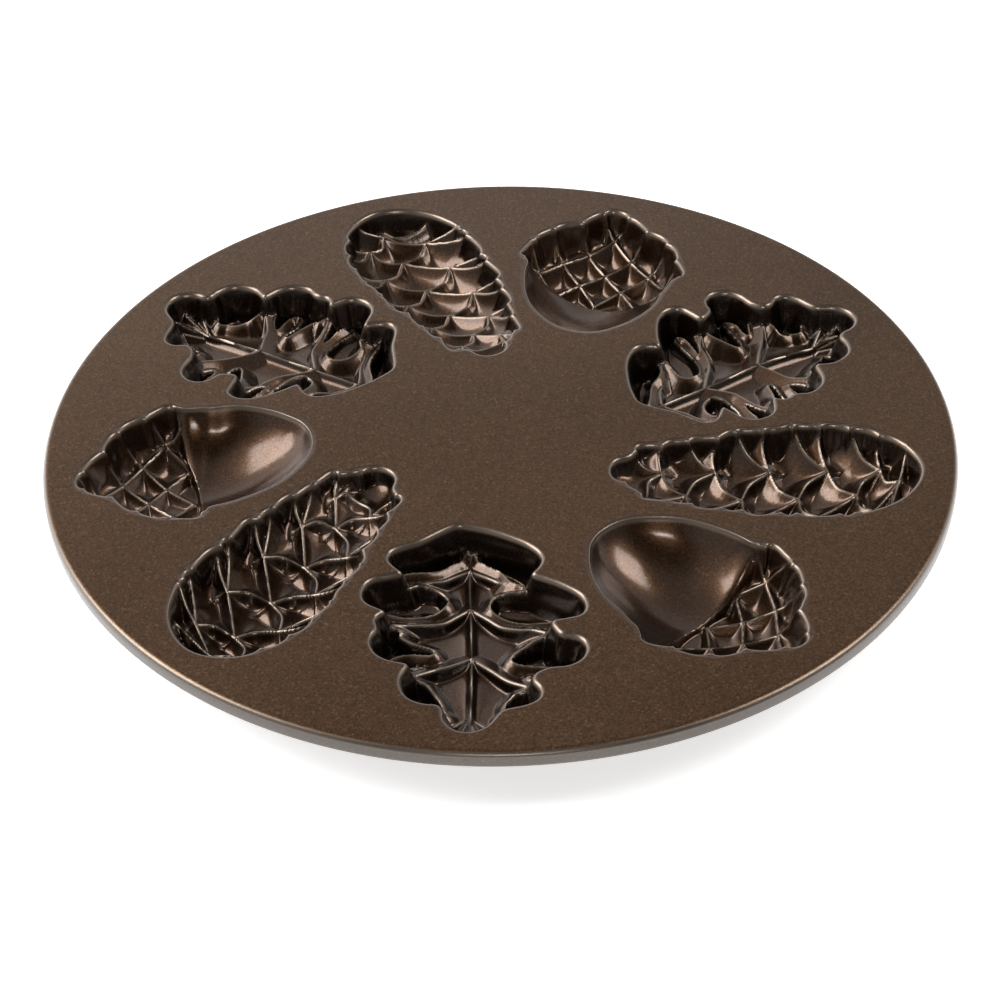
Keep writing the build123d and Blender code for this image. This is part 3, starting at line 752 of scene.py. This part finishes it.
# ------------------------------------------------------------------ material
def coating(name, lo, hi, coat, coat_rough, flakes, dark, light, lip_highlight_share, ior=1.5, painted_wall_shade=1.0):
    mat = bpy.data.materials.new(name)
    mat.use_nodes = True
    nt = mat.node_tree
    nt.nodes.clear()
    out = nt.nodes.new("ShaderNodeOutputMaterial")
    bsdf = nt.nodes.new("ShaderNodeBsdfPrincipled")
    nt.links.new(bsdf.outputs[0], out.inputs[0])
    coord = nt.nodes.new("ShaderNodeTexCoord")

    def noise(scale, detail, rough=0.5):
        t = nt.nodes.new("ShaderNodeTexNoise")
        t.inputs["Scale"].default_value = scale
        t.inputs["Detail"].default_value = detail
        t.inputs["Roughness"].default_value = rough
        nt.links.new(coord.outputs["Object"], t.inputs["Vector"])
        return t

    def ramp(src, stops):
        r = nt.nodes.new("ShaderNodeValToRGB")
        e = r.color_ramp.elements
        while len(e) > 1:
            e.remove(e[-1])
        e[0].position, e[0].color = stops[0][0], (*stops[0][1], 1)
        for p, c in stops[1:]:
            s = e.new(p)
            s.color = (*c, 1)
        nt.links.new(src, r.inputs[0])
        return r

    def mix(a, b, fac, mode="MIX"):
        m = nt.nodes.new("ShaderNodeMix")
        m.data_type = "RGBA"
        m.blend_type = mode
        if isinstance(fac, float):
            m.inputs[0].default_value = fac
        else:
            nt.links.new(fac, m.inputs[0])
        for s, v in ((6, a), (7, b)):
            if isinstance(v, tuple):
                m.inputs[s].default_value = (*v, 1)
            else:
                nt.links.new(v, m.inputs[s])
        return m.outputs[2]

    # brown-bronze ground with slow drifts, fine grain and small bright flakes
    ground = ramp(noise(11.0, 3.0).outputs[0],
                  [(0.3, dark), (0.7, light)])
    grain = ramp(noise(1500.0, 2.0, 0.6).outputs[0],
                 [(0.30, (0.55, 0.53, 0.50)), (0.5, (1.0, 1.0, 1.0)), (0.70, (1.62, 1.50, 1.40))])
    base = mix(ground.outputs[0], grain.outputs[0], 1.0, "MULTIPLY")
    flake = nt.nodes.new("ShaderNodeTexVoronoi")
    flake.inputs["Scale"].default_value = 1500.0
    nt.links.new(coord.outputs["Object"], flake.inputs["Vector"])
    spark = nt.nodes.new("ShaderNodeSeparateColor")
    nt.links.new(flake.outputs["Color"], spark.inputs[0])
    pick = ramp(spark.outputs[0], [(0.88, (0, 0, 0)), (0.98, (flakes, flakes, flakes))])
    tint = ramp(spark.outputs[1], [(0.0, (0.20, 0.085, 0.040)), (0.5, (0.22, 0.125, 0.065)), (1.0, (0.25, 0.18, 0.125))])
    base = mix(base, tint.outputs[0], pick.outputs[0])
    # painted shade: the base colour is darkened where the mesh is steep, standing in for the shade in the hollows
    steep = nt.nodes.new("ShaderNodeAttribute")
    steep.attribute_name = "steep"
    shade = ramp(steep.outputs["Fac"], [(0.0, (1.0, 1.0, 1.0)), (1.0, (painted_wall_shade, painted_wall_shade, painted_wall_shade))])
    base = mix(base, shade.outputs[0], 1.0, "MULTIPLY")
    # painted highlight: lips and crests are painted pale, and below they are also made rougher
    edge = nt.nodes.new("ShaderNodeAttribute")
    edge.attribute_name = "edge"
    lip_highlight = ramp(edge.outputs["Fac"], [(0.0, (0, 0, 0)), (1.0, (lip_highlight_share, lip_highlight_share, lip_highlight_share))])
    base = mix(base, (0.36, 0.29, 0.225), lip_highlight.outputs[0])
    nt.links.new(base, bsdf.inputs["Base Color"])
    bsdf.inputs["Metallic"].default_value = 0.97
    rough = ramp(noise(900.0, 2.0).outputs[0], [(0.3, (lo, lo, lo)), (0.7, (hi, hi, hi))])
    rough = mix(rough.outputs[0], (0.40, 0.40, 0.40), lip_highlight.outputs[0])
    nt.links.new(rough, bsdf.inputs["Roughness"])
    bsdf.inputs["Coat Weight"].default_value = coat
    bsdf.inputs["Coat Roughness"].default_value = coat_rough
    bsdf.inputs["Coat IOR"].default_value = ior
    bump = nt.nodes.new("ShaderNodeBump")
    bump.inputs["Strength"].default_value = 0.10
    bump.inputs["Distance"].default_value = 0.0002
    nt.links.new(noise(1600.0, 2.0).outputs[0], bump.inputs["Height"])
    nt.links.new(bump.outputs[0], bsdf.inputs["Normal"])
    return mat


deck_mat = coating("bronze_coating_deck", 0.30, 0.40, 0.14, 0.20, 0.30,
                   (0.062, 0.0320, 0.0148), (0.078, 0.0425, 0.0210), 0.6)
# the cups carry the deck's coating with a darker base colour as painted shade for their hollows, and a heavier,
# smoother coat
cup_mat_shaded = coating("bronze_coating_cups", 0.27, 0.35, 0.72, 0.15, 0.16,
                  (0.046, 0.0205, 0.0080), (0.058, 0.0275, 0.0115), 0.52, painted_wall_shade=0.34)

rim_mat = coating("bronze_coating_rim", 0.32, 0.42, 1.0, 0.30, 0.10,
                  (0.034, 0.0215, 0.0130), (0.043, 0.0275, 0.0170), 0.3, 1.66)

# ------------------------------------------------------------------ pieces
pieces = []
holes = []


def build_cups(places, outline, count, height, limit, deep):
    verts, faces, seam = cup_mesh(outline, count, height, limit)
    for name, (x, y, turn) in places.items():
        v = np.column_stack([place(verts[:, :2], x, y, turn), verts[:, 2]])
        ob = make(name + "_form", v, faces, deep=deep)
        ob.data.materials.append(cup_mat_shaded)
        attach(ob, "root")
        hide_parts(name)
        pieces.append(ob)
        holes.append(place(seam, x, y, turn))


# the last values set the painted shade on steep walls: its share, the normal's height where it starts, and how widely
# it comes in
build_cups(LEAF_PLACES, LEAF_OUTLINE, 620,
           lambda P, d, loop: leaf_height(P, d), -17.6, (1.0, 0.90, 0.36))
build_cups(ACORN_PLACES, ACORN_OUTLINE, 400, acorn_height, -25.0, (0.25, 0.66, 0.40))
build_cups(CONE_PLACES, CONE_OUTLINE, 520, cone_height, -21.6, (1.0, 0.66, 0.40))


def deck_mesh():
    n = 720
    a = np.arange(n) * 2 * np.pi / n
    ring = np.column_stack([np.cos(a), np.sin(a)]) * RIM_IN
    loops = [ring] + holes
    pts = np.vstack(loops)
    edges, start = [], 0
    for lp in loops:
        m = len(lp)
        edges += [(start + i, start + (i + 1) % m) for i in range(m)]
        start += m
    step = 6.0
    gx = np.arange(-156, 157, step)
    X, Y = np.meshgrid(gx, gx)
    G = np.column_stack([X.ravel(), Y.ravel()])
    G = G[np.hypot(*G.T) < RIM_IN - 4]
    for lp in holes:
        G = G[signed(G, lp[::3]) < -3.0]
    pts = np.vstack([pts, G])
    got = delaunay_2d_cdt([Vector(p) for p in pts], edges, [], 1, 1e-6)
    if len(got[0]) != len(pts):
        raise RuntimeError("the deck's loops cross")
    tri = np.array(got[2])
    mid = pts[tri].mean(1)
    keep = np.hypot(*mid.T) < RIM_IN
    for lp in holes:
        keep &= ~inside(mid, lp)
    tri = [tuple(t) for t in tri[keep]]
    top = facing(pts, tri, True)
    low = facing(pts, tri, False)
    N = len(pts)
    verts = np.vstack([np.column_stack([pts, np.zeros(N)]),
                       np.column_stack([pts, np.full(N, -DECK_THICK)])])
    faces = top + [tuple(v + N for v in f) for f in low]
    start = 0
    for k, lp in enumerate(loops):
        m = len(lp)
        out = (not clockwise(lp)) if k == 0 else clockwise(lp)
        for i in range(m):
            j = (i + 1) % m
            f = (start + i, start + i + N, start + j + N, start + j)
            faces.append(f if out else tuple(reversed(f)))
        start += m
    return verts, faces


v, f = deck_mesh()
deck = make("deck_plate_form", v, f)
deck.data.materials.append(deck_mat)
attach(deck, "root")
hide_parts("deck_plate")


def rim_mesh():
    n = 720
    prof = [(RIM_IN, -DECK_THICK), (RIM_IN, 0.0), (161.8, 0.0), (162.6, 0.0)]
    r = 2.35
    for k in range(1, 13):
        t = math.pi / 2 * k / 12
        prof.append((165.0 - r + r * math.sin(t), -r + r * math.cos(t)))
    prof += [(165.0, -3.6), (165.0, -4.6), (164.95, -5.2)]
    r = 0.75
    for k in range(1, 7):
        t = math.pi / 2 * k / 6
        prof.append((164.2 + r * math.cos(t), -5.2 - r * math.sin(t) * 0.85))
    prof += [(163.2, -5.86), (161.6, -5.8), (161.1, -5.4), (161.0, -4.6)]
    m = len(prof)
    verts, faces = [], []
    for i in range(n):
        a = i * 2 * math.pi / n
        c, s = math.cos(a), math.sin(a)
        verts += [(p * c, p * s, z) for p, z in prof]
    for i in range(n):
        j = (i + 1) % n
        for k in range(m):
            l = (k + 1) % m
            faces.append((i * m + k, i * m + l, j * m + l, j * m + k))
    return verts, faces


v, f = rim_mesh()
rim = make("rim_band_form", v, f, sharp=45)
rim.data.materials.append(deck_mat)
rim.data.materials.append(rim_mat)
for poly in rim.data.polygons:
    poly.material_index = 1 if poly.normal.z < 0.80 else 0
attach(rim, "root")
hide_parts("rim_band")

# ------------------------------------------------------------------ stage
me = bpy.data.meshes.new("floor")
s = 6.0
me.from_pydata([(-s, -s, 0), (s, -s, 0), (s, s, 0), (-s, s, 0)], [], [(0, 1, 2, 3)])
floor = bpy.data.objects.new("floor", me)
bpy.context.scene.collection.objects.link(floor)
fm = bpy.data.materials.new("floor_paper")
fm.use_nodes = True
fb = fm.node_tree.nodes["Principled BSDF"]
fb.inputs["Base Color"].default_value = (0.88, 0.88, 0.88, 1)
fb.inputs["Roughness"].default_value = 0.9
fb.inputs["Specular IOR Level"].default_value = 0.1
fb.inputs["Emission Color"].default_value = (1, 1, 1, 1)
fb.inputs["Emission Strength"].default_value = 0.63
me.materials.append(fm)

world = bpy.data.worlds.new("studio")
bpy.context.scene.world = world
world.use_nodes = True
wn = world.node_tree
bg = wn.nodes["Background"]
bg.inputs[1].default_value = 2.0
wc = wn.nodes.new("ShaderNodeTexCoord")
sx = wn.nodes.new("ShaderNodeSeparateXYZ")
wn.links.new(wc.outputs["Generated"], sx.inputs[0])


def sweep(src, a, b, lo, hi):
    n = wn.nodes.new("ShaderNodeMapRange")
    n.interpolation_type = "SMOOTHSTEP"
    for k, v in (("From Min", a), ("From Max", b), ("To Min", lo), ("To Max", hi)):
        n.inputs[k].default_value = v
    wn.links.new(src, n.inputs[0])
    return n.outputs[0]


def combine(op, a, b):
    n = wn.nodes.new("ShaderNodeMath")
    n.operation = op
    for k, v in enumerate((a, b)):
        if isinstance(v, float):
            n.inputs[k].default_value = v
        else:
            wn.links.new(v, n.inputs[k])
    return n.outputs[0]


# the white sweep behind the pan falls off upwards; the camera's side is dim
back = wn.nodes.new("ShaderNodeValToRGB")
stops = [(0.0, 0.80), (0.35, 0.66), (0.60, 0.47), (0.75, 0.37), (0.92, 0.24), (1.0, 0.22)]
el = back.color_ramp.elements
el[0].position, el[0].color = stops[0][0], (stops[0][1],) * 3 + (1,)
el[1].position, el[1].color = stops[-1][0], (stops[-1][1],) * 3 + (1,)
for p, c in stops[1:-1]:
    e = el.new(p)
    e.color = (c, c, c, 1)
wn.links.new(sx.outputs["Z"], back.inputs[0])
hole = wn.nodes.new("ShaderNodeVectorMath")
hole.operation = "DOT_PRODUCT"
wn.links.new(wc.outputs["Generated"], hole.inputs[0])
hole.inputs[1].default_value = (0.0, -0.76, 0.65)
front = combine("MULTIPLY", sweep(hole.outputs["Value"], 0.72, 0.95, 1.0, 0.08), 0.20)
share = sweep(sx.outputs["Y"], -0.1, 0.35, 0.0, 1.0)
level = combine("ADD", combine("MULTIPLY", back.outputs[0], share),
                combine("MULTIPLY", front, combine("SUBTRACT", 1.0, share)))
level = combine("MULTIPLY", level, sweep(sx.outputs["X"], -0.5, 0.5, 1.35, 0.65))
# the sweep itself is seen as plain white from every side
path = wn.nodes.new("ShaderNodeLightPath")
seen = path.outputs["Is Camera Ray"]
level = combine("ADD", combine("MULTIPLY", level, combine("SUBTRACT", 1.0, seen)),
                combine("MULTIPLY", seen, 0.5))
wn.links.new(level, bg.inputs[0])


def area(name, loc, size, power, aim=(0, 0, 0.02), size_y=None):
    la = bpy.data.lights.new(name, "AREA")
    la.energy = power
    la.shape = "RECTANGLE" if size_y else "SQUARE"
    la.size = size
    if size_y:
        la.size_y = size_y
    ob = bpy.data.objects.new(name, la)
    bpy.context.scene.collection.objects.link(ob)
    ob.location = loc
    ob.rotation_euler = (Vector(aim) - Vector(loc)).to_track_quat("-Z", "Y").to_euler()
    return ob


def polar(azimuth, elevation, dist):
    """A place seen from the pan: azimuth clockwise from the back."""
    a, e = math.radians(azimuth), math.radians(elevation)
    return (dist * math.sin(a) * math.cos(e), dist * math.cos(a) * math.cos(e),
            dist * math.sin(e) + 0.02)


area("softbox_left", polar(-86, 40, 1.7), 1.0, 24, size_y=1.0)
area("softbox_right", polar(88, 47, 1.7), 0.75, 13, size_y=0.75)
area("front_fill", polar(180, 33, 1.6), 0.32, 3.0, size_y=0.18)

# ------------------------------------------------------------------ camera
F, E, D = 2350.0, 0.66222, 5.18502 * 0.165
PAN, TILT, ROLL = -0.00046, -0.03102, 0.02131
C = Vector((0, -D * math.cos(E), D * math.sin(E)))
fwd = -C.normalized()
right = Vector((1, 0, 0))
up = right.cross(fwd)
cp, sp_ = math.cos(PAN), math.sin(PAN)
# X' = X cp - Z sp, Z' = X sp + Z cp
r1 = right * cp - fwd * sp_
f1 = right * sp_ + fwd * cp
ct, st = math.cos(TILT), math.sin(TILT)
u2 = up * ct - f1 * st
f2 = up * st + f1 * ct
cr, sr = math.cos(ROLL), math.sin(ROLL)
r3 = r1 * cr - u2 * sr
u3 = r1 * sr + u2 * cr
cam_data = bpy.data.cameras.new("camera")
cam_data.sensor_width = 36.0
cam_data.sensor_fit = "HORIZONTAL"
cam_data.lens = F / 1000.0 * 36.0
cam = bpy.data.objects.new("camera", cam_data)
bpy.context.scene.collection.objects.link(cam)
m = Matrix((
    (r3.x, u3.x, -f2.x, C.x),
    (r3.y, u3.y, -f2.y, C.y),
    (r3.z, u3.z, -f2.z, C.z + DECK_TOP / 1000.0),
    (0, 0, 0, 1)))
cam.matrix_world = m
bpy.context.scene.camera = cam
bpy.context.scene.view_settings.view_transform = "Standard"
